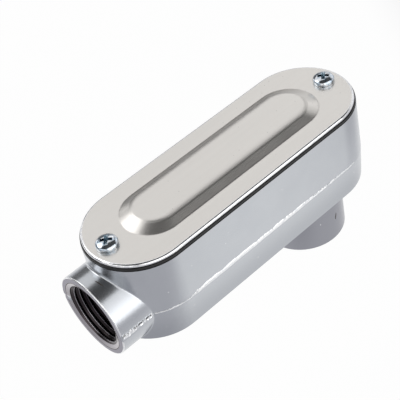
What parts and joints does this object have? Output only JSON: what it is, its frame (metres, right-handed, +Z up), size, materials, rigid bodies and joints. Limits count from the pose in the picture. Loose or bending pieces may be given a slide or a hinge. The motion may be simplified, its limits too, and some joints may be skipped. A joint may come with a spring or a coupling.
{
  "type": "conduit body",
  "caption": "Threaded conduit body that turns a wire run through a right angle, with one hub at its end, one under its far end, and a gasketed screw-on cover.",
  "frame": {"origin": "centre of the end hub's mouth, on the hub's axis", "axes": "+X along the body away from the end hub's mouth, +Z up towards the cover, -Z the way the back hub points; symmetric about Y = 0"},
  "size_m": [0.1108, 0.0366, 0.0522],
  "materials": {
    "cast_aluminium": "satin, as cast",
    "cover_steel": "satin",
    "gasket_rubber": "matte",
    "zinc_plated_screw": "bright plated"
  },
  "bodies": {
    "root": {"body_casting": "cast_aluminium", "cover_gasket": "gasket_rubber", "cover": "cover_steel", "cover_screw_hub_end": "zinc_plated_screw", "cover_screw_far_end": "zinc_plated_screw"}
  },
  "joints": []
}
